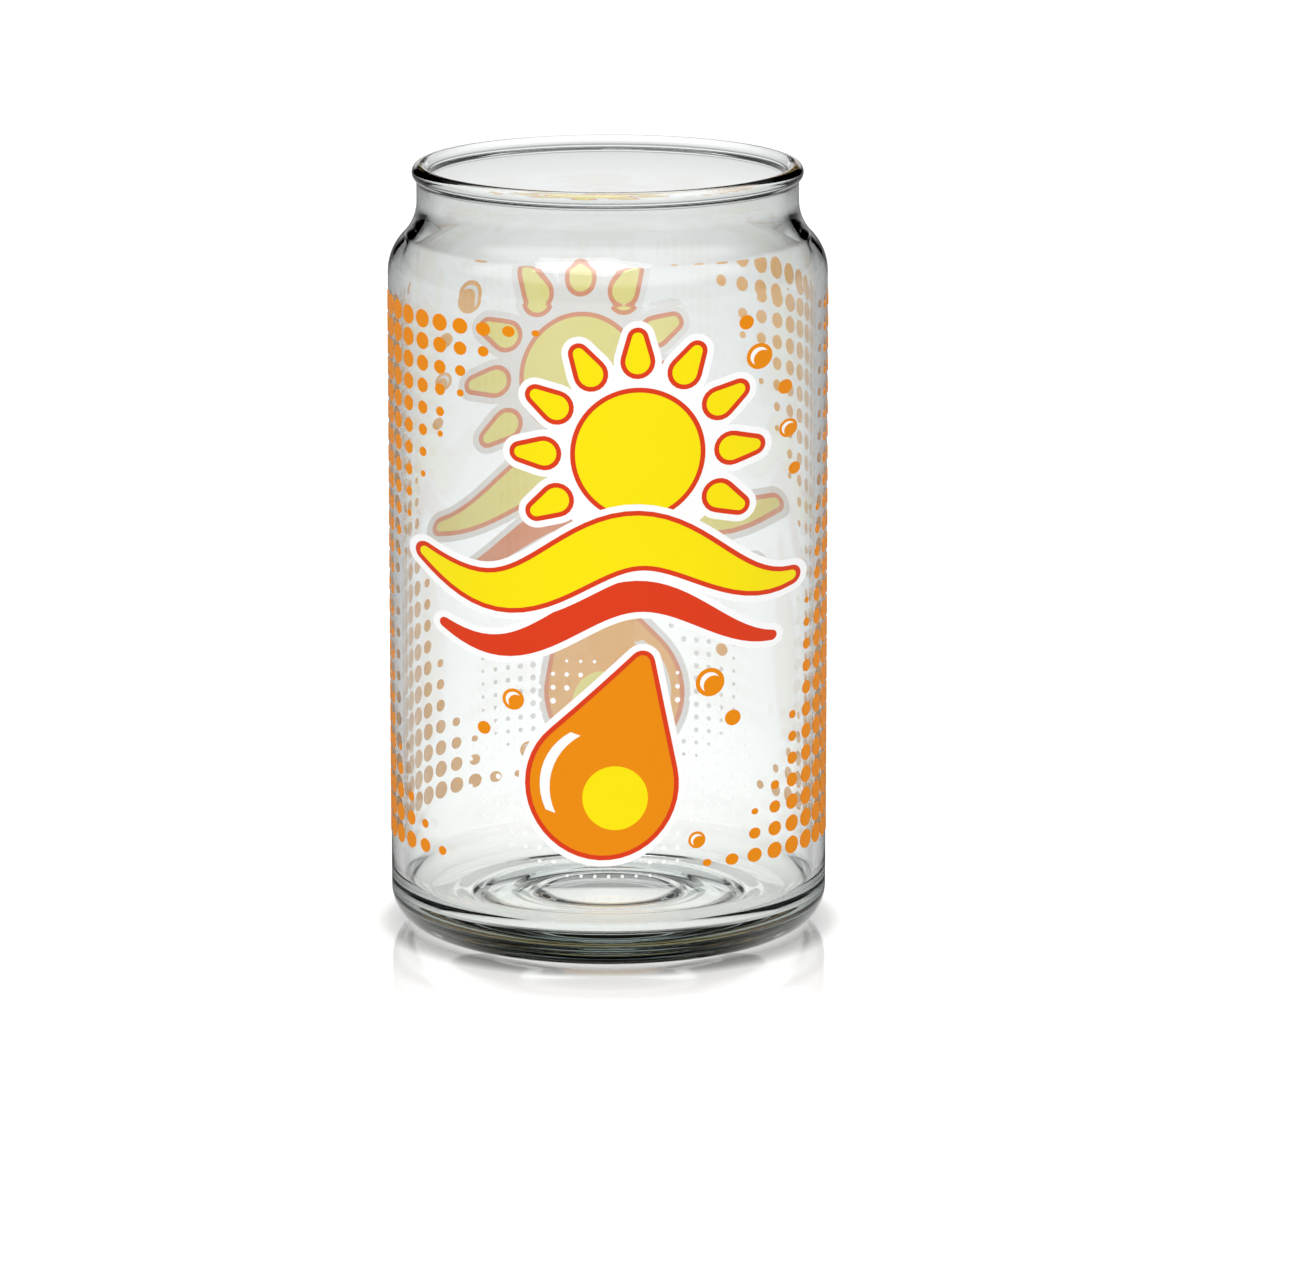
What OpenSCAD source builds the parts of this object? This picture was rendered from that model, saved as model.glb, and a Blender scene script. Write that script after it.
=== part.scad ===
// Can-shaped drinking glass with a four-colour enamel print, in millimetres.
// The axis of the glass is Z, the table is z = 0, and the front of the print faces -Y.

/* [Glass] */
// Height from the table to the top of the rim
glass_h = 120; // [112:1:140]
// Outside diameter of the straight body
body_d = 68; // [66:1:76]
// How far the neck is set in from the body, all round
shoulder_step = 4.5; // [3.5:0.25:7]
// Thickness of the side wall, shoulder and neck
wall = 1.9; // [1.4:0.1:2.6]
// Height from the top of the shoulder curve to the top of the rim
neck_h = 5.6; // [5:0.1:9]
// Radius of both bends of the shoulder, on the outside
shoulder_r = 8; // [6:0.5:11]
// How closely the bends follow the outside on the inside: 0 for the same radius, 1 for parallel walls
bend_follow = 0.35; // [0.2:0.05:0.6]
// Diameter of the fire-polished bead round the rim
bead_d = 2.6; // [2:0.1:3.2]
// Radius of the hollow under the bead
bead_fillet = 0.8; // [0.4:0.1:1.2]

/* [Base] */
// Radius of the rounded heel
heel_r = 6; // [4:0.5:8]
// Thickness of the base, from the table to the inside floor
base_t = 5; // [4:0.25:9]
// Radius of the corner between the floor and the inside wall
floor_r = 4.5; // [2:0.5:8]
// Width of the flat ring that the glass stands on
foot_w = 6; // [3:0.5:10]
// Height of the push-up in the middle
push_up_h = 1.8; // [0.5:0.1:2.5]
// Distance of the outer ring pressed into the floor from the floor's edge
ring_inset = 6.1; // [4:0.1:9]
// Distance from the outer ring to the inner ring
ring_pitch = 9; // [5:0.5:11]
// Depth of the floor rings
ring_depth = 0.3; // [0.1:0.05:0.6]
// Radius of the tool that pressed the floor rings
ring_tool_r = 7; // [4:0.5:12]

/* [Enamel] */
// Thickness of the fired enamel
film = 0.1; // [0.05:0.01:0.2]
// Width of the red outlines
line_w = 0.75; // [0.5:0.05:1]
// Width of the white border round the artwork
border_w = 1; // [0.6:0.1:1.4]
// Diameter of the body that the artwork is drawn for
art_d = 68; // [60:1:80]
// Height of the shoulder that the artwork is drawn for
art_h = 103; // [90:1:120]

/* [Sun and ribbons] */
// Depth of the sun's centre below the shoulder
sun_drop = 22.5; // [21:0.5:25]
// Distance of the sun's centre to the right of the middle
sun_shift = 4.5; // [2:0.5:7]
// Radius of the sun's disc
sun_r = 9.5; // [7:0.5:10]
// Distance from the sun's centre to the foot of each ray
ray_foot = 14.2; // [13.5:0.1:15]
// Length of a ray between the centres of its round ends
ray_len = 3.6; // [2.5:0.1:4]
// Radius of a ray at its foot
ray_r = 1.9; // [1.2:0.1:2]
// Radius of a ray at its tip
ray_tip_r = 0.9; // [0.5:0.1:1.1]
// Number of rays
rays = 9; // [5:1:9]
// Angle from the first ray to the last, over the top of the sun
ray_spread = 240; // [200:5:240]
// Depth of the yellow ribbon's middle line below the shoulder
ribbon_drop = 40; // [38:0.5:44]
// Distance from the yellow ribbon's middle line down to the red ribbon's
ribbon_gap = 8.6; // [8.4:0.1:9.4]
// Width of the yellow ribbon in the middle
yellow_ribbon_w = 8; // [5:0.5:9]
// Width of the red ribbon in the middle
red_ribbon_w = 5; // [3:0.5:6]
// Width of both ribbons at their ends
ribbon_end_w = 1.6; // [1:0.1:2]
// Length of the yellow ribbon, seen from the front
yellow_ribbon_len = 56; // [44:1:58]
// Length of the red ribbon, seen from the front
red_ribbon_len = 50; // [40:1:56]
// Length of one wave of the ribbons
wave_len = 44; // [36:1:60]
// Rise of a wave above its middle line
wave_h = 4.2; // [2:0.2:5]

/* [Drop and bubbles] */
// Height of the drop's centre above the table
drop_z = 29.5; // [28:0.5:32]
// Radius of the round end of the drop
drop_r = 11; // [8:0.5:12]
// Radius of the tip of the drop
drop_tip_r = 1.2; // [0.8:0.1:2]
// Distance from the round end's centre to the tip's
drop_len = 20; // [16:0.5:22]
// Lean of the drop from upright, to the right
drop_lean = 18; // [0:1:25]
// Radius of the yellow disc in the drop
pip_r = 5; // [3:0.5:6]
// Distance of the yellow disc to the right of the drop's centre, and below it
pip_shift = 2; // [0:0.5:3]
// Width of the white glint along the left of the drop
glint_w = 1.5; // [1:0.1:2]
// Radius of the largest bubble
bubble_r = 2.2; // [1.5:0.1:2.4]

/* [Halftone] */
// Height of the lowest row of dots above the table
foot_row_z = 16.5; // [12:0.5:18]
// Distance from one row of dots to the next
row_pitch = 3.44; // [3.3:0.02:4]
// Distance from one column of dots to the next, round the glass
column_pitch = 4.45; // [4.2:0.05:5.5]
// Height of the largest dots
dot_max = 3.15; // [2:0.05:3.2]
// Height of the smallest dots
dot_min = 0.9; // [0.6:0.1:1.2]
// Slant at which a dot is stretched sideways, in degrees
dot_slant = 38; // [0:1:40]
// Pitch of the fine white dots
fine_pitch = 2.1; // [1.9:0.1:3]
// Diameter of the largest fine white dots
fine_max = 1.15; // [0.8:0.05:1.4]
// Diameter of the smallest fine white dots
fine_min = 0.45; // [0.3:0.05:0.6]

/* [Reach of the halftone from the side of the glass, in degrees] */
// Reach of the left field at its waist
left_waist = 14; // [10:1:20]
// Further reach of the left field towards its top row
left_top = 48; // [30:1:50]
// Flare of the left field in its last rows at the top
left_flare = 13; // [0:1:15]
// Further reach of the left field towards its foot row
left_foot = 32; // [20:1:35]
// Reach of the right field at its top
right_top = 16; // [10:1:20]
// Further reach of the right field towards its foot row
right_foot = 30; // [20:1:32]
// Flare of the right field in its last rows at the foot
right_flare = 22; // [0:1:24]

/* [Hidden] */
$fn = 96;

body_r = body_d / 2;
neck_r = body_r - shoulder_step;
bead_r = bead_d / 2;

// The bead is flush with the inside of the neck, and stands out past its outside
bead_z = glass_h - bead_r;
bead_at = neck_r - wall + bead_r;
fillet_z = bead_z - sqrt(pow(bead_r + bead_fillet, 2) - pow(neck_r + bead_fillet - bead_at, 2));

// The two bends of the shoulder have one radius outside, and meet halfway between their centres. Inside,
// the glass runs softer: one radius is smaller and the other larger by the same amount
shoulder_h = sqrt(4 * shoulder_r * shoulder_step - shoulder_step * shoulder_step);
shoulder_top = glass_h - neck_h;
shoulder_z = shoulder_top - shoulder_h;
bend_turn = asin(shoulder_h / (2 * shoulder_r));

// The push-up is a dome inside the flat ring that the glass stands on
push_up_r = body_r - heel_r - foot_w;
push_up_ball_r = (push_up_r * push_up_r + push_up_h * push_up_h) / (2 * push_up_h);

outer_ring_r = body_r - wall - floor_r - ring_inset;
inner_ring_r = outer_ring_r - ring_pitch;

// Outline, then outline with its white border
edge_w = line_w + border_w;

// The artwork is drawn as seen from the front, with x across it and z up from the table. A glass that
// is too narrow or too low for it gets the whole artwork smaller, and a taller one has it spread out:
// the sun, the ribbons and the bubbles hang from the shoulder, and the drop stands over the base
art_scale = min(body_d / art_d, shoulder_z / art_h);
top_z = shoulder_z / art_scale;

sun_at = [sun_shift, top_z - sun_drop];
yellow_ribbon_z = top_z - ribbon_drop;
red_ribbon_z = yellow_ribbon_z - ribbon_gap;
drop_at = [-1, drop_z];
drop_way = [sin(drop_lean), cos(drop_lean)];

// Bubbles: place across the front, height below the shoulder, and size as a share of the largest
BUBBLES = [
    [23, 9, 0.9], [27, 14.5, 0.5], [27.5, 21, 0.65], [28.5, 27.5, 0.42], [21, 3.5, 0.5],
    [15.5, 58.5, 1], [19, 64.5, 0.55], [-14.5, 61, 0.75], [-19, 66, 0.45], [13.5, 83, 0.6]
];
// Radius from which a bubble holds a crescent of light
light_from = 1.3;

// Bare glass left between the top row of dots and the shoulder
top_row_gap = 4;
row_count = 1 + floor((shoulder_z - top_row_gap - foot_row_z) / row_pitch);
// As many columns as fit round the glass, the same number in each quarter
columns = 4 * round(PI * body_d / column_pitch / 4);
column_step = 360 / columns;

// Half of the fine white cloud's width and height, and its centre's height
cloud_w = 25;
cloud_h = 19;
cloud_z = 32;
// Bare glass left between a fine dot and the artwork's border
fine_gap = 0.2;

// Points of an arc, about a millimetre apart, with a step of 8 to 18 degrees
function arc(centre, r, from, to) =
    let (n = ceil(abs(to - from) / min(18, max(8, 60 / r))))
    [for (i = [0:n]) centre + r * [cos(from + (to - from) * i / n), sin(from + (to - from) * i / n)]];

function clamp(x) = min(1, max(0, x));

// Height of the ribbons' wave above its middle line, with a crest under the sun, and its slope in degrees
function wave(x) = wave_h * cos(360 * (x - sun_shift) / wave_len);
function wave_slope(x) = -atan(wave_h * 2 * PI / wave_len * sin(360 * (x - sun_shift) / wave_len));

// Quarter of a disc, towards the sides that x and z name
module quarter(r, x, z) {
    intersection() {
        circle(r);
        translate([x < 0 ? -r : 0, z < 0 ? -r : 0]) square(r);
    }
}

// Half section of a can form, set in from the outside of the glass by a distance
module can_section(inset, corner_r, low, high) {
    side = body_r - inset;
    throat = neck_r - inset;
    lower_bend_r = shoulder_r - bend_follow * inset;
    upper_bend_r = shoulder_r + bend_follow * inset;
    lower_bend = [side - lower_bend_r, shoulder_z];
    upper_bend = [throat + upper_bend_r, shoulder_top];
    difference() {
        union() {
            polygon([
                [0, low],
                [side - corner_r, low],
                [side, low + corner_r],
                [side, shoulder_z],
                lower_bend + lower_bend_r * [cos(bend_turn), sin(bend_turn)],
                [throat, shoulder_top],
                [throat, high],
                [0, high]
            ]);
            translate([side - corner_r, low + corner_r]) quarter(corner_r, 1, -1);
            translate(lower_bend) quarter(lower_bend_r, 1, 1);
        }
        translate(upper_bend) circle(upper_bend_r);
    }
}

// Bead of the rim, with the hollow under it
module bead_section() {
    translate([bead_at, bead_z]) circle(bead_r);
    difference() {
        polygon([
            [neck_r - wall / 2, fillet_z],
            [neck_r + bead_fillet, fillet_z],
            [bead_at, bead_z],
            [neck_r - wall / 2, bead_z]
        ]);
        translate([neck_r + bead_fillet, fillet_z]) circle(bead_fillet);
    }
}

module floor_ring(at) {
    translate([at, base_t + ring_tool_r - ring_depth]) circle(ring_tool_r);
}

module glass() {
    color([0.86, 0.93, 0.91, 0.35])
    rotate_extrude() {
        difference() {
            can_section(0, heel_r, 0, bead_z);
            can_section(wall, floor_r, base_t, glass_h);
            floor_ring(outer_ring_r);
            floor_ring(inner_ring_r);
            intersection() {
                translate([0, push_up_h - push_up_ball_r]) circle(push_up_ball_r, $fn = 360);
                translate([0, -1]) square([push_up_r + 1, push_up_h + 1]);
            }
        }
        bead_section();
    }
}

// Straight sides that touch two circles, with the circles' outer arcs: a ray or a drop along +X
module taper(foot_r, tip_r, length, grow = 0) {
    touch = acos((foot_r - tip_r) / length);
    polygon(concat(
        arc([0, 0], foot_r + grow, touch, 360 - touch),
        arc([length, 0], tip_r + grow, -touch, touch)
    ));
}

module sun(grow = 0) {
    translate(sun_at) {
        circle(sun_r + grow);
        for (i = [0:rays - 1]) {
            rotate(90 + ray_spread * (i / (rays - 1) - 0.5)) translate([ray_foot, 0]) taper(ray_r, ray_tip_r, ray_len, grow);
        }
    }
}

// A ribbon that follows the wave and narrows towards its round ends
module ribbon(z, mid_w, length, grow = 0) {
    half = length / 2;
    steps = 36;
    // Half of the angle that a round end turns through
    end_turn = 80;
    xs = [for (i = [0:steps]) -half + length * i / steps];
    function middle(x) = [x, z + wave(x)];
    function half_w(x) = grow + (ribbon_end_w + (mid_w - ribbon_end_w) * cos(90 * x / half)) / 2;
    function side(x, way) = middle(x) + way * half_w(x) * [-sin(wave_slope(x)), cos(wave_slope(x))];
    function end_cap(x, turn) =
        let (way = wave_slope(x) + turn)
        arc(middle(x), half_w(x), way + end_turn, way - end_turn);
    polygon(concat(
        [for (x = xs) side(x, 1)],
        end_cap(half, 0),
        [for (i = [steps:-1:0]) side(xs[i], -1)],
        end_cap(-half, 180)
    ));
}

module yellow_ribbon(grow = 0) {
    ribbon(yellow_ribbon_z, yellow_ribbon_w, yellow_ribbon_len, grow);
}

module red_ribbon(grow = 0) {
    ribbon(red_ribbon_z, red_ribbon_w, red_ribbon_len, grow);
}

module drop(grow = 0) {
    translate(drop_at) rotate(90 - drop_lean) taper(drop_r, drop_tip_r, drop_len, grow);
}

// Yellow disc low in the drop
module pip() {
    translate(drop_at + pip_shift * [1, -1]) circle(pip_r);
}

// White crescent between two arcs of one radius, along the upper left of the drop
module glint() {
    top_end = 120;
    foot_end = 205;
    translate(drop_at)
    polygon(concat(
        arc([0, 0], drop_r - glint_w, top_end, foot_end),
        arc([glint_w, -glint_w / 3], drop_r - glint_w, foot_end, top_end)
    ));
}

module bubbles(grow = 0) {
    for (b = BUBBLES) {
        translate([b[0], top_z - b[1]]) circle(b[2] * bubble_r + grow);
    }
}

// Crescent of light in each bubble that is large enough to hold one
module bubble_lights() {
    for (b = BUBBLES) {
        r = b[2] * bubble_r;
        if (r >= light_from) {
            translate([b[0], top_z - b[1]])
            difference() {
                circle(0.7 * r);
                translate([0.25 * r, -0.25 * r]) circle(0.7 * r);
            }
        }
    }
}

// Sun without what the yellow ribbon covers
module sun_behind(grow = 0) {
    difference() {
        sun(grow);
        yellow_ribbon(edge_w);
    }
}

// Red ribbon without what the yellow ribbon and the drop cover
module red_ribbon_behind() {
    difference() {
        red_ribbon();
        yellow_ribbon(edge_w);
        drop(edge_w);
    }
}

module yellow_art() {
    sun_behind();
    yellow_ribbon();
    pip();
}

module red_art() {
    difference() {
        sun_behind(line_w);
        sun();
    }
    difference() {
        yellow_ribbon(line_w);
        yellow_ribbon();
    }
    difference() {
        drop(line_w);
        drop();
    }
    red_ribbon_behind();
}

module orange_art() {
    difference() {
        drop();
        pip();
        glint();
    }
    difference() {
        bubbles();
        bubble_lights();
    }
}

module white_art() {
    difference() {
        union() {
            translate(sun_at) circle(ray_foot);
            sun(edge_w);
            yellow_ribbon(edge_w);
            red_ribbon(border_w);
            drop(edge_w);
        }
        sun_behind(line_w);
        yellow_ribbon(line_w);
        red_ribbon_behind();
        drop(line_w);
    }
    glint();
    bubble_lights();
}

// Skin of enamel round the straight body
module skin() {
    translate([0, 0, heel_r])
    difference() {
        cylinder(r = body_r + film, h = shoulder_z - heel_r);
        translate([0, 0, -1]) cylinder(r = body_r, h = shoulder_z - heel_r + 2);
    }
}

// Artwork fired onto the front and the back of the glass
module fired() {
    for (turn = [0, 180]) {
        rotate([0, 0, turn])
        intersection() {
            skin();
            rotate([90, 0, 0]) linear_extrude(body_r + 1) scale(art_scale) children();
        }
    }
}

// From 0 where share is from, to 1 where it is to
function ramp(share, from, to) = clamp((share - from) / (to - from));

// How far a dot field reaches from the side of the glass: share is 0 at the foot row, 1 at the top row
function left_reach(share) =
    let (near_top = ramp(share, 0.45, 1), near_foot = ramp(share, 0.3, 0))
    left_waist + left_top * near_top + left_flare * pow(near_top, 8) + left_foot * pow(near_foot, 2);
function right_reach(share) =
    let (near_foot = ramp(share, 0.75, 0))
    right_top + right_foot * near_foot + right_flare * pow(near_foot, 8);

// Size of a field's middle dots as a share of the largest: smaller at the left's waist and the right's top
function left_full(share) = 0.6 + 0.4 * pow(abs(2 * share - 1), 0.7);
function right_full(share) = 0.55 + 0.45 * ramp(share, 0.8, 0.4);

// Height of the dot that lies an angle from the side, positive towards the left of the front
function dot_size(angle, share) =
    let (
        reach = angle > 0 ? left_reach(share) : right_reach(share),
        full = angle > 0 ? left_full(share) : right_full(share),
        fade = clamp(1 - pow(angle / reach, 2))
    )
    dot_max * full * sqrt(fade);

// Orange halftone on both sides of the glass
module dot_fields() {
    bar_len = dot_max * tan(dot_slant) + 1;
    intersection() {
        skin();
        for (turn = [0, 180], row = [0:row_count - 1], i = [-columns / 4:columns / 4 - 1]) {
            angle = (i + 0.5) * column_step;
            size = dot_size(angle, row / (row_count - 1));
            if (size > dot_min) {
                rotate([0, 0, turn + angle - 90])
                translate([0, -body_r, foot_row_z + row * row_pitch])
                rotate([0, 0, dot_slant])
                rotate([90, 0, 0])
                cylinder(d = size, h = bar_len, center = true, $fn = 48);
            }
        }
    }
}

// Distance from a point to the outline of the drop
function drop_gap(p) =
    let (
        along = (p - drop_at) * drop_way,
        across = abs((p - drop_at) * [drop_way[1], -drop_way[0]]),
        touch = acos((drop_r - drop_tip_r) / drop_len),
        place = along * sin(touch) - across * cos(touch)
    )
    place < 0 ? norm([along, across]) - drop_r
    : place > drop_len * sin(touch) ? norm([along - drop_len, across]) - drop_tip_r
    : along * cos(touch) + across * sin(touch) - drop_r;

// True where a fine dot stays clear of the drop, the ribbons and the bubbles
function is_clear(p) =
    let (
        room = edge_w + fine_max / 2 + fine_gap,
        ribbon_foot = red_ribbon_z + wave(p[0]) - red_ribbon_w / 2,
        taken = [for (b = BUBBLES) if (norm(p - [b[0], top_z - b[1]]) < b[2] * bubble_r + fine_max) b]
    )
    drop_gap(p) > room && p[1] < ribbon_foot - room && len(taken) == 0;

// Fine white halftone, thinning out round the drop
module fine_dots() {
    nx = ceil(cloud_w / fine_pitch);
    nz = ceil(cloud_h / fine_pitch);
    for (turn = [0, 180], i = [-nx:nx], k = [-nz:nz]) {
        p = [i * fine_pitch, cloud_z + k * fine_pitch];
        size = fine_max * sqrt(clamp(1 - pow(p[0] / cloud_w, 2) - pow((p[1] - cloud_z) / cloud_h, 2)));
        if (size > fine_min && is_clear(p)) {
            rotate([0, 0, turn + asin(art_scale * p[0] / body_r)])
            translate([0, -body_r, art_scale * p[1]])
            rotate([90, 0, 0])
            cylinder(d = art_scale * size, h = film, $fn = 24);
        }
    }
}

module white_enamel() {
    color("white") {
        fired() white_art();
        fine_dots();
    }
}

module yellow_enamel() {
    color("#FFE600") fired() yellow_art();
}

module orange_enamel() {
    color("#F29400") {
        fired() orange_art();
        dot_fields();
    }
}

module red_enamel() {
    color("#E5401B") fired() red_art();
}

glass();
white_enamel();
yellow_enamel();
orange_enamel();
red_enamel();
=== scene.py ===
"""Can-shaped drinking glass with a print in four enamel colours, dressed for its portrait."""
import math

import bmesh
import bpy
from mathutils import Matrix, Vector


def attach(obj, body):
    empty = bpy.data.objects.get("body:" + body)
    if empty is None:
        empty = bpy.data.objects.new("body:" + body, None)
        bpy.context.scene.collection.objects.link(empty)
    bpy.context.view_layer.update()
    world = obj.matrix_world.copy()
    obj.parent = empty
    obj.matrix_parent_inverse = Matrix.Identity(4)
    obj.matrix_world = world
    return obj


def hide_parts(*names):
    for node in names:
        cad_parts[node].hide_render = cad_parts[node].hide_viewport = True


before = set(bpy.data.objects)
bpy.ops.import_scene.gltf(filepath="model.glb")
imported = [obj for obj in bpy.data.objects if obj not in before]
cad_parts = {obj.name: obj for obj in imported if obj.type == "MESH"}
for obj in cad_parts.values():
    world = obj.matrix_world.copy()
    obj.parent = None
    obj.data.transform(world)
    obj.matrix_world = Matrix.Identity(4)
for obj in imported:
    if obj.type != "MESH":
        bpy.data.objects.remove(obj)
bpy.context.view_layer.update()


# Glass. The whole tumbler is one piece of clear soda-lime glass, blown into a can-shaped mould with
# a thick pressed base, and its cut rim is melted back into a bead. The section is that of the part,
# with enough points for the curved walls to bend light smoothly.
MM = 0.001


def arc(centre, radius, start, end, spacing=0.35):
    """Points of an arc in the half section, from one angle in degrees to another."""
    steps = max(3, math.ceil(abs(math.radians(end - start)) * radius / spacing))
    turns = [math.radians(start + (end - start) * i / steps) for i in range(steps + 1)]
    return [(centre[0] + radius * math.cos(t), centre[1] + radius * math.sin(t)) for t in turns]


def line(start, end, spacing):
    """Points between two places in the half section, without the two themselves."""
    steps = max(1, round(math.dist(start, end) / spacing))
    return [tuple(a + (b - a) * i / steps for a, b in zip(start, end)) for i in range(1, steps)]


body_r, wall, glass_h = 34, 1.9, 120
shoulder_step, shoulder_r, bend_follow, neck_h = 4.5, 8, 0.35, 5.6
bead_r, bead_fillet = 1.3, 0.8
heel_r, base_t, floor_r, foot_w, push_up_h = 6, 5, 4.5, 6, 1.8
ring_inset, ring_pitch, ring_depth, ring_tool_r = 6.1, 9, 0.3, 7

neck_r = body_r - shoulder_step
shoulder_top = glass_h - neck_h
shoulder_h = math.sqrt(4 * shoulder_r * shoulder_step - shoulder_step ** 2)
shoulder_z = shoulder_top - shoulder_h
bend_turn = math.degrees(math.asin(shoulder_h / (2 * shoulder_r)))
lower_bend = (body_r - shoulder_r, shoulder_z)
upper_bend = (neck_r + shoulder_r, shoulder_top)
bend_ease = bend_follow * wall
inner_lower_bend = (body_r - wall - shoulder_r + bend_ease, shoulder_z)
inner_upper_bend = (neck_r - wall + shoulder_r + bend_ease, shoulder_top)

# The bead is flush with the inside of the neck, and a small hollow leads into it from outside
bead = (neck_r - wall + bead_r, glass_h - bead_r)
hollow_x = neck_r + bead_fillet
hollow_z = bead[1] - math.sqrt((bead_r + bead_fillet) ** 2 - (hollow_x - bead[0]) ** 2)
hollow_turn = math.degrees(math.atan2(bead[1] - hollow_z, bead[0] - hollow_x))

push_up_r = body_r - heel_r - foot_w
push_up_ball = (push_up_r ** 2 + push_up_h ** 2) / (2 * push_up_h)
push_up_turn = math.degrees(math.asin(push_up_r / push_up_ball))
floor_edge = body_r - wall - floor_r
ring_turn = math.degrees(math.acos(1 - ring_depth / ring_tool_r))

# Spacing of the points in millimetres: on straight walls, on gentle curves, at the rim and its hollow
straight, gentle, rim_bend, hollow_bend = 2, 1, 0.2, 0.15
underside = arc((0, push_up_h - push_up_ball), push_up_ball, 90, 90 - push_up_turn, gentle)
underside += line((push_up_r, 0), (body_r - heel_r, 0), gentle)
outside = arc((body_r - heel_r, heel_r), heel_r, -90, 0)
outside += line((body_r, heel_r), (body_r, shoulder_z), straight)
outside += arc(lower_bend, shoulder_r, 0, bend_turn)[:-1]
outside += arc(upper_bend, shoulder_r, 180 + bend_turn, 180)
rim = arc((hollow_x, hollow_z), bead_fillet, 180, hollow_turn, hollow_bend)[:-1]
rim += arc(bead, bead_r, hollow_turn - 180, 180, rim_bend)
inside = line(rim[-1], (neck_r - wall, shoulder_top), gentle)
inside += arc(inner_upper_bend, shoulder_r + bend_ease, 180, 180 + bend_turn)[:-1]
inside += arc(inner_lower_bend, shoulder_r - bend_ease, bend_turn, 0)
inside += line((body_r - wall, shoulder_z), (body_r - wall, base_t + floor_r), straight)
inside += arc((floor_edge, base_t + floor_r), floor_r, 0, -90)
for ring_r in (floor_edge - ring_inset, floor_edge - ring_inset - ring_pitch):
    tool = (ring_r, base_t + ring_tool_r - ring_depth)
    press = arc(tool, ring_tool_r, ring_turn - 90, -90 - ring_turn)
    inside += line(inside[-1], press[0], gentle) + press
inside += line(inside[-1], (0, base_t), gentle) + [(0, base_t)]

facets, on_axis = 256, 1e-6
maker = bmesh.new()
rings = []
for r, z in underside + outside + rim + inside:
    count = facets if r > on_axis else 1
    angles = [2 * math.pi * i / facets for i in range(count)]
    rings.append([maker.verts.new((r * math.cos(a) * MM, r * math.sin(a) * MM, z * MM)) for a in angles])
for near, far in zip(rings, rings[1:]):
    for i in range(facets):
        j = (i + 1) % facets
        corners = [near[i % len(near)], near[j % len(near)], far[j % len(far)], far[i % len(far)]]
        maker.faces.new(dict.fromkeys(corners))
bmesh.ops.recalc_face_normals(maker, faces=maker.faces)
for face in maker.faces:
    face.smooth = True
glass_mesh = bpy.data.meshes.new("clear_glass")
maker.to_mesh(glass_mesh)
maker.free()
glass = bpy.data.objects.new("clear_glass", glass_mesh)
bpy.context.collection.objects.link(glass)


def add_node(tree, kind, inputs=None, stops=(), **settings):
    """Adds a node with its settings. An input is a value, or the output that feeds it.

    The stops of a ramp are pairs of a place and a level of grey, or of a place and a colour.
    """
    new = tree.nodes.new(kind)
    for name, value in settings.items():
        setattr(new, name, value)
    for name, value in (inputs or {}).items():
        if isinstance(value, bpy.types.NodeSocket):
            tree.links.new(value, new.inputs[name])
        else:
            new.inputs[name].default_value = value
    for place, shade in stops[2:]:
        new.color_ramp.elements.new(place)
    for element, (place, shade) in zip(new.color_ramp.elements if stops else (), stops):
        element.position = place
        element.color = shade if isinstance(shade, tuple) else (shade, shade, shade, 1)
    return new


def colour(code, alpha=1):
    """Linear colour of a six-digit sRGB code."""
    parts = [int(code[i:i + 2], 16) / 255 for i in (0, 2, 4)]
    return (*[p / 12.92 if p <= 0.04045 else ((p + 0.055) / 1.055) ** 2.4 for p in parts], alpha)


def new_material(name):
    """An empty node material and its output node."""
    material = bpy.data.materials.new(name)
    material.use_nodes = True
    material.node_tree.nodes.clear()
    return material, add_node(material.node_tree, "ShaderNodeOutputMaterial")


# Fire-polished soda-lime glass: clear face on. Where the outside of the wall is seen edge on, its colour
# is painted darker, a painted shade for the dark edges of a glass. The long ways through base and heel
# are a little green. Lamps shine through, so the print behind is lit.
EDGE_PAINTED_SHADE = (
    # how far the wall is turned away, what it lets through with the painted edge shade
    (0.05, 0.97), (0.22, 0.86), (0.41, 0.76), (0.53, 0.67),
    (0.585, 0.56), (0.63, 0.48), (0.69, 0.37), (0.8, 0.32))
TINT_CAST = (0.985, 1, 0.995)
glass_material, output = new_material("fire_polished_soda_lime_glass")
tree = glass_material.node_tree
facing = add_node(tree, "ShaderNodeLayerWeight", {"Blend": 0.5})
surface = add_node(tree, "ShaderNodeNewGeometry")

# The painted edge shade goes only on the outside of the wall, where the surface faces away from the middle
# of the glass
place = add_node(tree, "ShaderNodeTexCoord")
spoke = add_node(tree, "ShaderNodeVectorMath", {
    0: place.outputs["Object"], 1: (1, 1, 0)}, operation="MULTIPLY")
outwards = add_node(tree, "ShaderNodeVectorMath", {0: spoke.outputs["Vector"]}, operation="NORMALIZE")
turned = add_node(tree, "ShaderNodeVectorMath", {
    0: surface.outputs["Normal"], 1: outwards.outputs["Vector"]}, operation="DOT_PRODUCT")
outer = add_node(tree, "ShaderNodeMath", {
    0: turned.outputs["Value"], 1: surface.outputs["Backfacing"]}, operation="SUBTRACT", use_clamp=True)
slant = add_node(tree, "ShaderNodeMath", {
    0: facing.outputs["Facing"], 1: outer.outputs[0]}, operation="MULTIPLY")
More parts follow.
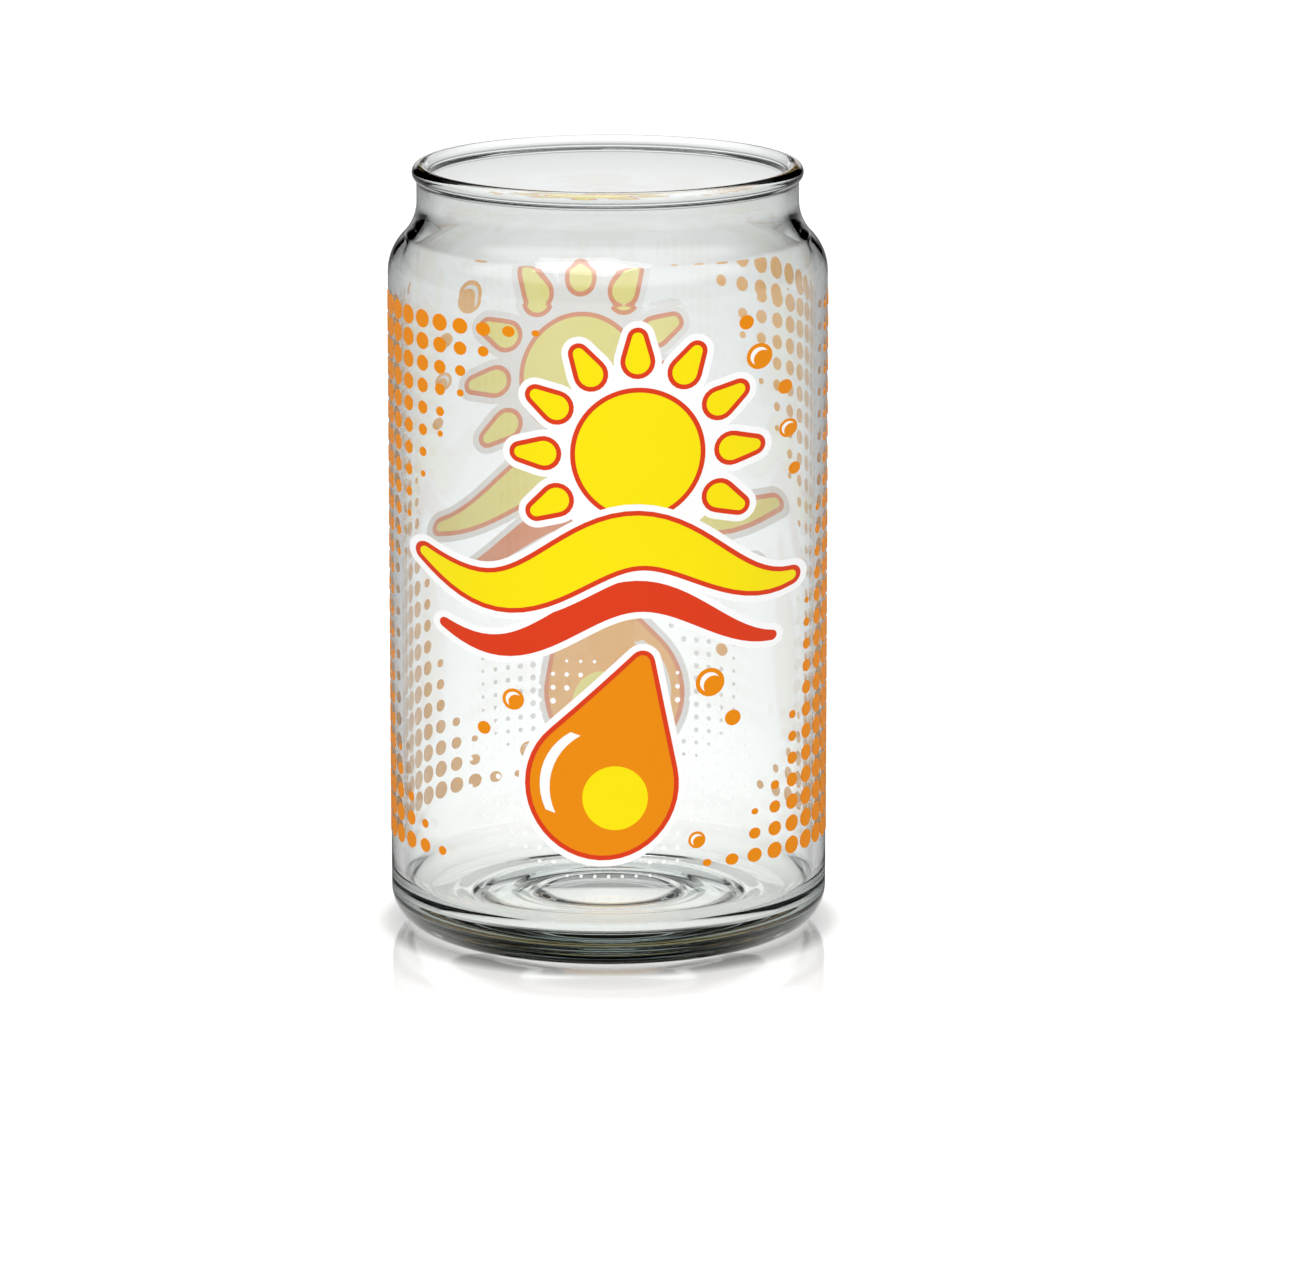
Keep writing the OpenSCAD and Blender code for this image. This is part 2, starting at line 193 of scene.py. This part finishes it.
# Painted shade: the glass's colour darkens as the outer wall turns edge on
painted_edge_shade = add_node(tree, "ShaderNodeValToRGB", {"Fac": slant.outputs[0]}, stops=[
    (turn, (*[level * cast for cast in TINT_CAST], 1)) for turn, level in EDGE_PAINTED_SHADE])
clear = add_node(tree, "ShaderNodeBsdfPrincipled", {
    "Base Color": painted_edge_shade.outputs["Color"],
    "Roughness": 0.0,
    "IOR": 1.52,
    "Transmission Weight": 1.0,
})
lamp_way = add_node(tree, "ShaderNodeBsdfTransparent", {"Color": (1, 1, 1, 1)})
path = add_node(tree, "ShaderNodeLightPath")
soft_rays = add_node(tree, "ShaderNodeMath", {
    0: path.outputs["Is Shadow Ray"], 1: path.outputs["Is Diffuse Ray"]}, operation="MAXIMUM")
both = add_node(tree, "ShaderNodeMixShader", {
    0: soft_rays.outputs[0], 1: clear.outputs["BSDF"], 2: lamp_way.outputs["BSDF"]})
green = add_node(tree, "ShaderNodeVolumeAbsorption", {"Color": (0.32, 0.44, 0.42, 1), "Density": 22.0})
tree.links.new(both.outputs["Shader"], output.inputs["Surface"])
tree.links.new(green.outputs["Volume"], output.inputs["Volume"])
glass_mesh.materials.append(glass_material)
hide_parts("glass")
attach(glass, "root")


# Enamel. Four colours are pressed through screens onto the outside of the glass, one on the next,
# and fired until they fuse with it. Outside they are bright and smooth. Seen through the glass from
# behind, each shows its underside, whose colour is painted paler and brighter than the outside's:
# painted light, standing in for the light that reaches it through glass and enamel.
film_sink, film_t, widest_edge = 0.02, 0.1, 1.5

# The screens have 9 threads to the millimetre. The waves that they leave in the film are drawn ten
# times as coarse, so that they show, and 0.03 mm deep. Its clouds are 14.3 mm wide.
screen_threads, drawn_coarser, wave_depth, cloud_width = 9, 10, 0.03, 14.3

# A face turned more than 60 degrees from straight out, or straight in, is one of the film's thin edges
side_limit = 0.5

PRINTS = {
    # node: name of the piece, outside, underside painted paler as painted light
    "white_enamel": ("white_print", "EDEDED", "F2F2F6"),
    "yellow_enamel": ("yellow_print", "EBD700", "F2EBA0"),
    "orange_enamel": ("orange_print", "DE8300", "F4C591"),
    "red_enamel": ("red_print", "D03814", "E8A489"),
}

for node, (piece_name, outer_code, under_painted_light_code) in PRINTS.items():
    maker = bmesh.new()
    maker.from_mesh(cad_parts[node].data)
    bmesh.ops.remove_doubles(maker, verts=maker.verts, dist=1e-6)

    # Long edges round the glass are halved, so that the film follows its curve
    long_edges = [e for e in maker.edges if (e.verts[0].co.xy - e.verts[1].co.xy).length > widest_edge * MM]
    bmesh.ops.subdivide_edges(maker, edges=long_edges, cuts=1, use_grid_fill=False)
    bmesh.ops.triangulate(maker, faces=maker.faces)

    # The film sinks a little into the glass, as fired enamel does, which leaves no air behind it
    half_way = (body_r + film_t / 2) * MM
    for vert in maker.verts:
        out = vert.co.xy.length > half_way
        radius = (body_r + film_t if out else body_r - film_sink) * MM
        vert.co.xy = vert.co.xy.normalized() * radius
    bmesh.ops.dissolve_degenerate(maker, edges=maker.edges, dist=1e-7)
    maker.normal_update()
    for face in maker.faces:
        face.smooth = True
        out_way = face.calc_center_median().xy.normalized()
        face.material_index = 1 if face.normal.xy.dot(out_way) < -side_limit else 0
    mesh = bpy.data.meshes.new(piece_name)
    maker.to_mesh(mesh)
    maker.free()

    # Faces of the film are shaded as parts of one cylinder, and its thin edges as they are
    normals = []
    for polygon in mesh.polygons:
        for index in polygon.vertices:
            spot = mesh.vertices[index].co
            radial = Vector((spot.x, spot.y, 0)).normalized()
            side = polygon.normal.dot(radial)
            normals.append(polygon.normal if abs(side) < side_limit else radial * math.copysign(1, side))
    mesh.normals_split_custom_set(normals)

    # Fired enamel is nearly even in colour, with faint clouds where the screen left more or less of it
    # Each film has an outer coat and an underside coat, and the underside's paler colour is painted light
    for coat, code in (("outer", outer_code), ("under", under_painted_light_code)):
        material, output = new_material(f"fired_{node}_{coat}_face")
        tree = material.node_tree
        place = add_node(tree, "ShaderNodeTexCoord")
        waves = add_node(tree, "ShaderNodeTexNoise", {
            "Vector": place.outputs["Object"],
            "Scale": screen_threads / drawn_coarser / MM,
            "Detail": 3.0,
            "Roughness": 0.6,
        })
        clouds = add_node(tree, "ShaderNodeTexNoise", {
            "Vector": place.outputs["Object"], "Scale": 1 / (cloud_width * MM), "Detail": 2.0})
        thick = add_node(tree, "ShaderNodeMapRange", {
            "Value": clouds.outputs["Fac"], "To Min": 0.965, "To Max": 1.0})
        shade = add_node(tree, "ShaderNodeMix", {
            0: 1.0, 6: colour(code), 7: thick.outputs["Result"]}, data_type="RGBA", blend_type="MULTIPLY")
        relief = add_node(tree, "ShaderNodeBump", {
            "Strength": 0.25, "Distance": wave_depth * MM, "Height": waves.outputs["Fac"]})
        coat_shader = add_node(tree, "ShaderNodeBsdfPrincipled", {
            "Base Color": shade.outputs[2],
            "Roughness": 0.38,
            "IOR": 1.5,
            "Specular IOR Level": 0.1 if coat == "outer" else 0.0,
            "Normal": relief.outputs["Normal"],
        })
        tree.links.new(coat_shader.outputs["BSDF"], output.inputs["Surface"])
        mesh.materials.append(material)

    piece = bpy.data.objects.new(piece_name, mesh)
    bpy.context.collection.objects.link(piece)
    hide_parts(node)
    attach(piece, "root")


# Floor. A plain white sheet that the glass stands on, with a thin painted shadow round the foot and a
# faint mirror image close to it. Seen through the glass its white is painted darker with distance. In the
# glass's shine it is painted dark in front of the foot and bright at both sides, a painted reflection of a
# black screen and two white cards that are not there.
floor_half = 3
floor_mesh = bpy.data.meshes.new("white_floor")
floor_mesh.from_pydata([
    (-floor_half, -floor_half, 0), (floor_half, -floor_half, 0),
    (floor_half, floor_half, 0), (-floor_half, floor_half, 0)], [], [(0, 1, 2, 3)])
floor = bpy.data.objects.new("white_floor", floor_mesh)
bpy.context.collection.objects.link(floor)
floor_material, output = new_material("smooth_white_sheet")
tree = floor_material.node_tree
path = add_node(tree, "ShaderNodeLightPath")
place = add_node(tree, "ShaderNodeTexCoord")
away = add_node(tree, "ShaderNodeVectorMath", {0: place.outputs["Object"]}, operation="LENGTH")


def painted_level_by_distance(*steps):
    """Painted grey of the floor, in pairs of a distance in metres from its middle and a level."""
    reach = steps[-1][0]
    share = add_node(tree, "ShaderNodeMapRange", {"Value": away.outputs["Value"], "From Max": reach})
    ramp = add_node(tree, "ShaderNodeValToRGB", {"Fac": share.outputs["Result"]}, stops=[
        (distance / reach, level) for distance, level in steps])
    return ramp.outputs["Color"]


# Painted shade and painted reflection: a shadow round the foot, a dimming with distance seen through the
# glass, and the dark and bright levels in the glass's shine
painted_foot_shadow = painted_level_by_distance((0.0272, 1.0), (0.032, 0.3), (0.0344, 0.45), (0.0376, 1.0))
through = painted_level_by_distance((0.06, 1.06), (0.15, 0.96), (0.6, 0.81), (1.2, 0.65), (2.1, 0.47), (3.0, 0.2))
painted_far_shine = painted_level_by_distance((0.06, 0.0), (0.08, 0.15), (0.2, 0.3), (1.0, 0.15))
painted_near_shine = painted_level_by_distance((0.037, 1.0), (0.043, 0.12), (0.08, 0.0))
heading = add_node(tree, "ShaderNodeVectorMath", {0: place.outputs["Object"]}, operation="NORMALIZE")
sideways = add_node(tree, "ShaderNodeSeparateXYZ", {"Vector": heading.outputs["Vector"]})
aside = add_node(tree, "ShaderNodeMath", {0: sideways.outputs["X"]}, operation="ABSOLUTE")
# Painted reflection: brighter towards both sides, as if white cards stood there
painted_card_light = add_node(tree, "ShaderNodeMapRange", {
    "Value": aside.outputs[0], "From Min": 0.45, "From Max": 0.9, "To Min": 0.02, "To Max": 0.75},
    interpolation_type="SMOOTHSTEP")
painted_near_card_light = add_node(tree, "ShaderNodeMath", {
    0: painted_near_shine, 1: painted_card_light.outputs["Result"]}, operation="MULTIPLY")
painted_shine = add_node(tree, "ShaderNodeMath", {0: painted_far_shine, 1: painted_near_card_light.outputs[0]}, operation="ADD")
outside_level = add_node(tree, "ShaderNodeMix", {
    0: path.outputs["Is Glossy Ray"], 2: painted_foot_shadow, 3: painted_shine.outputs[0]}, data_type="FLOAT")
level = add_node(tree, "ShaderNodeMix", {
    0: path.outputs["Is Transmission Ray"], 2: outside_level.outputs[0], 3: through}, data_type="FLOAT")

# Most of its white is the sheet's own, and a fifth is painted light: a glow of the sheet's own, with no
# lamp beneath it
own_share, painted_glow_share = 0.8, 0.2
# The sheet's colour and its glow both carry the painted shade and reflection levels
white = add_node(tree, "ShaderNodeMath", {0: level.outputs[0], 1: own_share}, operation="MULTIPLY")
sheet = add_node(tree, "ShaderNodeBsdfDiffuse", {"Color": white.outputs[0]})
glow = add_node(tree, "ShaderNodeMath", {0: level.outputs[0], 1: painted_glow_share}, operation="MULTIPLY")
lift = add_node(tree, "ShaderNodeEmission", {"Color": (1, 1, 1, 1), "Strength": glow.outputs[0]})
gloss = add_node(tree, "ShaderNodeBsdfGlossy", {"Color": (1, 1, 1, 1), "Roughness": 0.1})
close = add_node(tree, "ShaderNodeMapRange", {
    "Value": away.outputs["Value"], "From Min": 0.03, "From Max": 0.08, "To Min": 0.45, "To Max": 0.0},
    interpolation_type="SMOOTHSTEP")
polish = add_node(tree, "ShaderNodeMath", {
    0: close.outputs["Result"], 1: path.outputs["Is Camera Ray"]}, operation="MULTIPLY")
mirror = add_node(tree, "ShaderNodeMixShader", {
    0: polish.outputs[0], 1: sheet.outputs["BSDF"], 2: gloss.outputs["BSDF"]})
lit = add_node(tree, "ShaderNodeAddShader", {0: mirror.outputs[0], 1: lift.outputs[0]})
tree.links.new(lit.outputs[0], output.inputs["Surface"])
floor_mesh.materials.append(floor_material)


# Studio. A white room lights the print and the floor, a little less from overhead and from the two
# sides. What the glass itself shows of it is dark, which draws the black lines of rim, shoulder and
# heel, but for a low white backdrop behind, a narrow bright slot above that, and a ceiling in front.
world = bpy.data.worlds.new("white_room")
bpy.context.scene.world = world
world.use_nodes = True
tree = world.node_tree
tree.nodes.clear()
path = add_node(tree, "ShaderNodeLightPath")
way = add_node(tree, "ShaderNodeTexCoord")
split = add_node(tree, "ShaderNodeSeparateXYZ", {"Vector": way.outputs["Generated"]})
aside = add_node(tree, "ShaderNodeMath", {0: split.outputs["X"]}, operation="ABSOLUTE")

walls = add_node(tree, "ShaderNodeMapRange", {"Value": split.outputs["Z"], "To Min": 1.45, "To Max": 1.07})
flanks = add_node(tree, "ShaderNodeMapRange", {
    "Value": aside.outputs[0], "From Min": 0.4, "From Max": 0.95, "To Min": 1.0, "To Max": 0.45},
    interpolation_type="SMOOTHSTEP")
room = add_node(tree, "ShaderNodeMath", {
    0: walls.outputs["Result"], 1: flanks.outputs["Result"]}, operation="MULTIPLY")
white_rays = add_node(tree, "ShaderNodeMath", {
    0: path.outputs["Is Camera Ray"], 1: path.outputs["Is Glossy Ray"]}, operation="MAXIMUM")
around = add_node(tree, "ShaderNodeMix", {
    0: white_rays.outputs[0], 6: room.outputs[0], 7: (1, 1, 1, 1)}, data_type="RGBA")

ceiling = add_node(tree, "ShaderNodeValToRGB", {"Fac": split.outputs["Z"]}, stops=((0.5, 0.0), (0.6, 1.4)))
in_front = add_node(tree, "ShaderNodeMapRange", {
    "Value": split.outputs["Y"], "From Min": 0.0, "From Max": 0.15, "To Min": 1.0, "To Max": 0.15})
shown = add_node(tree, "ShaderNodeMath", {
    0: ceiling.outputs["Color"], 1: in_front.outputs["Result"]}, operation="MULTIPLY")
behind = add_node(tree, "ShaderNodeMath", {0: split.outputs["Y"], 1: 0.0}, operation="GREATER_THAN")

# How bright the backdrop and the slot are at each height, from 0 on the level to 1 straight up
BACKDROP = ((0.0, 0.45), (0.04, 1.0), (0.125, 1.0), (0.17, 0.0))
SLOT = ((0.235, 0.0), (0.241, 1.5), (0.257, 1.5), (0.263, 0.0))
for heights, full_width, whole_width in ((BACKDROP, 0.16, 0.32), (SLOT, 0.06, 0.1)):
    height = add_node(tree, "ShaderNodeValToRGB", {"Fac": split.outputs["Z"]}, stops=heights)
    width = add_node(tree, "ShaderNodeMapRange", {
        "Value": aside.outputs[0], "From Min": full_width, "From Max": whole_width,
        "To Min": 1.0, "To Max": 0.0}, interpolation_type="SMOOTHSTEP")
    field = add_node(tree, "ShaderNodeMath", {
        0: height.outputs["Color"], 1: width.outputs["Result"]}, operation="MULTIPLY")
    back_field = add_node(tree, "ShaderNodeMath", {
        0: field.outputs[0], 1: behind.outputs[0]}, operation="MULTIPLY")
    shown = add_node(tree, "ShaderNodeMath", {
        0: shown.outputs[0], 1: back_field.outputs[0]}, operation="MAXIMUM")
view = add_node(tree, "ShaderNodeMix", {
    0: path.outputs["Is Singular Ray"], 6: around.outputs[2], 7: shown.outputs[0]}, data_type="RGBA")
sky = add_node(tree, "ShaderNodeBackground", {"Color": view.outputs[2], "Strength": 1.0})
add_node(tree, "ShaderNodeOutputWorld", {"Surface": sky.outputs["Background"]})

softbox = bpy.data.lights.new("overhead_softbox", "AREA")
softbox.shape = "RECTANGLE"
softbox.size, softbox.size_y = 0.8, 0.8
softbox.energy = 6
lamp = bpy.data.objects.new("overhead_softbox", softbox)
lamp.location = (-0.15, -0.25, 1.4)
mid_glass = Vector((0, 0, 0.05))
lamp.rotation_euler = (mid_glass - lamp.location).to_track_quat("-Z", "Y").to_euler()
bpy.context.collection.objects.link(lamp)


# Camera: a long lens, a little above the rim, as in the photograph.
pitch, yaw = 12.31, 0.341
camera_data = bpy.data.cameras.new("portrait_camera")
camera_data.sensor_width = 36
camera_data.lens = 218.4
camera_data.clip_start, camera_data.clip_end = 0.05, 20
camera = bpy.data.objects.new("portrait_camera", camera_data)
camera.location = (0, -1.211, 0.309)
camera.rotation_euler = (math.radians(90 - pitch), 0, math.radians(-yaw))
bpy.context.collection.objects.link(camera)
bpy.context.scene.camera = camera
bpy.context.scene.view_settings.view_transform = "Standard"
